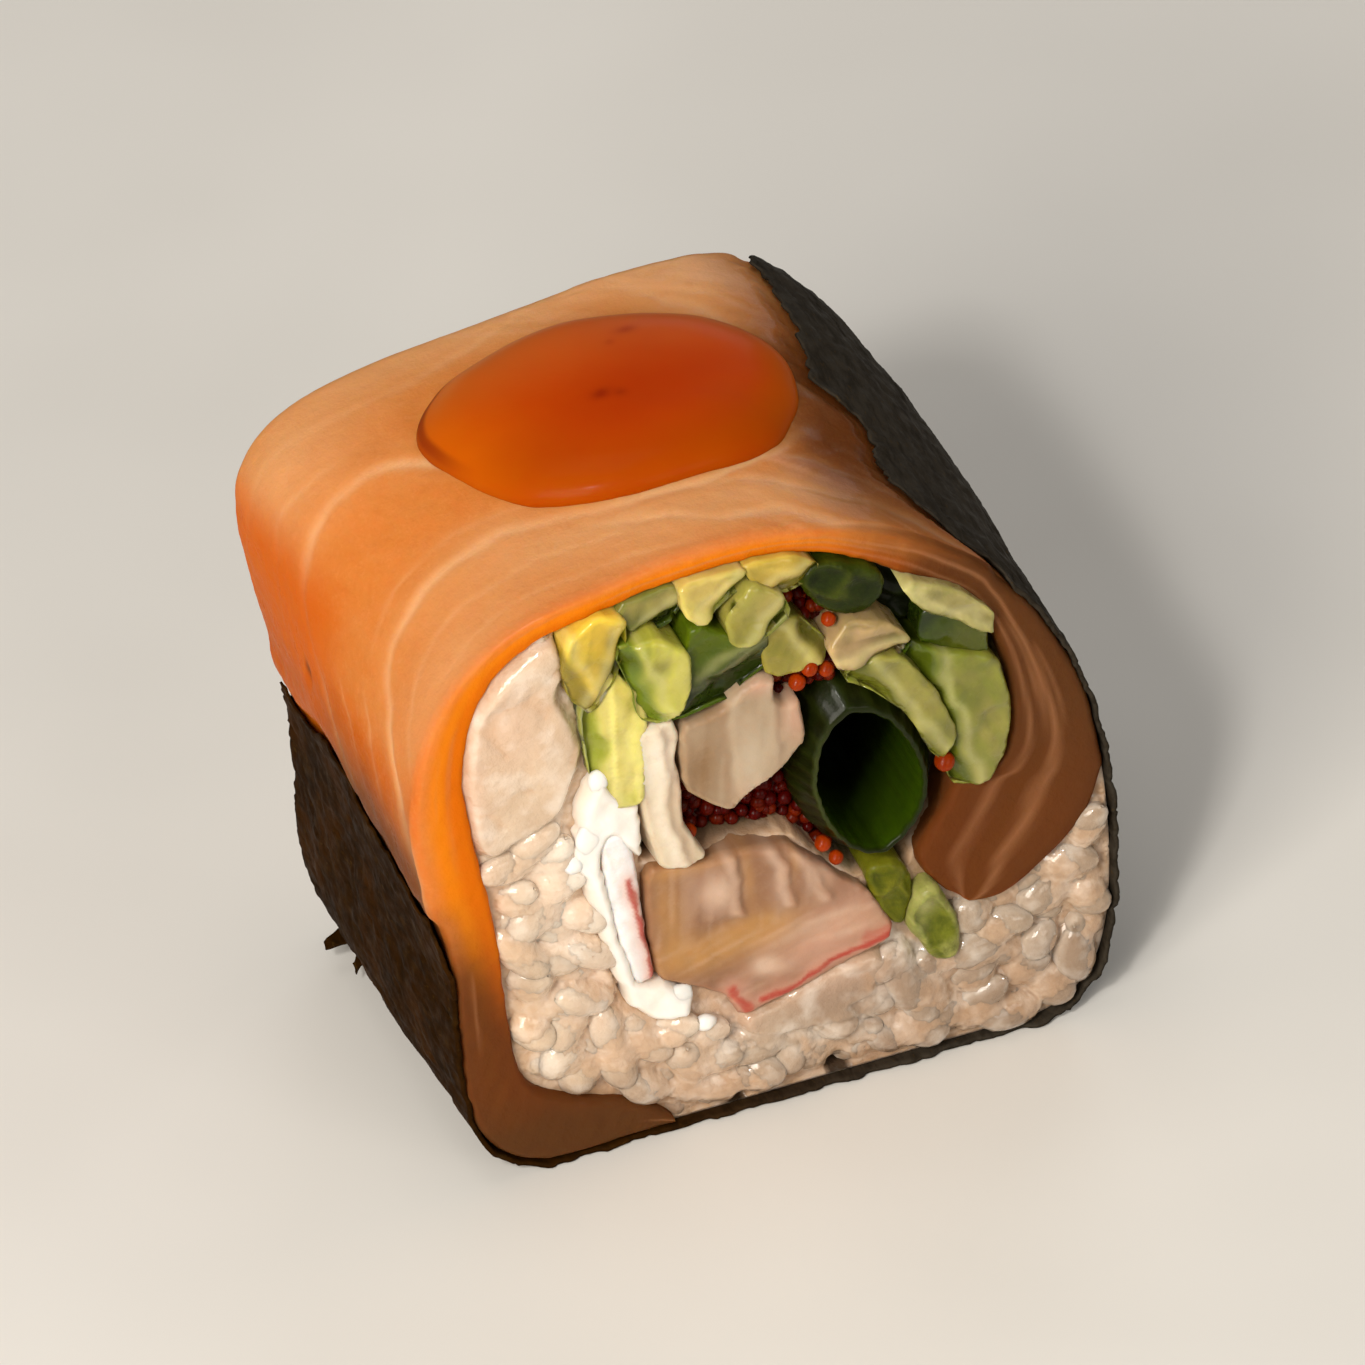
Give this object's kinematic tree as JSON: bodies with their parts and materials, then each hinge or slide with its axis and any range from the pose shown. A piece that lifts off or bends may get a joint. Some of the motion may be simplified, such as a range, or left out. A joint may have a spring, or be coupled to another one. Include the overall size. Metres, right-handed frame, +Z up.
{
  "type": "salmon maki roll slice",
  "caption": "Cut slice of a thick salmon maki roll: nori, salmon wrap, rice, crab stick, cucumber, scallion and roe, with a dollop of orange sauce on top.",
  "frame": {"origin": "bottom centre of the slice, on the surface it rests on", "axes": "+X across the cut face, +Y along the axis of the roll with the dressed cut face towards -Y, +Z up"},
  "size_m": [0.0414, 0.0272, 0.0432],
  "materials": {
    "nori": "thin pressed seaweed sheet, damp, dark green black with a faint sheen",
    "salmon": "raw salmon, moist, orange with pale fat lines",
    "rice": "cooked sushi rice, translucent, slightly sticky",
    "cream_cheese": "soft white cheese, satin",
    "crab_stick": "flaked crab stick, cream white to tan with a red skin line",
    "scallion": "hollow green onion leaf, moist",
    "leaf": "dark green vegetable skin, wet",
    "cucumber": "cut cucumber sticks, juicy, pale flesh and green skin",
    "roe": "small orange red fish roe, wet",
    "sauce": "thick glossy orange sauce"
  },
  "bodies": {
    "root": {"crab_chunk": "crab_stick", "crab_stick": "crab_stick", "crab_strip_side": "crab_stick", "crab_strip_upper": "crab_stick", "cream_cheese": "cream_cheese", "cucumber_block": "cucumber", "cucumber_diagonal": "cucumber", "cucumber_edge": "cucumber", "cucumber_long": "cucumber", "cucumber_olive": "cucumber", "cucumber_pink_edge": "cucumber", "cucumber_right_dark": "cucumber", "cucumber_rim": "cucumber", "cucumber_round": "cucumber", "cucumber_skin_slice": "cucumber", "cucumber_slab": "cucumber", "cucumber_top_dark": "cucumber", "cucumber_top_left": "cucumber", "cucumber_top_right": "cucumber", "leaf_right": "leaf", "leaf_top": "leaf", "nori": "nori", "rice": "rice", "roe_main": "roe", "roe_top": "roe", "roe_upper": "roe", "salmon_slice": "salmon", "sauce_dollop": "sauce", "scallion_bit": "scallion", "scallion_ring_bit": "scallion", "scallion_tube": "scallion"}
  },
  "joints": []
}
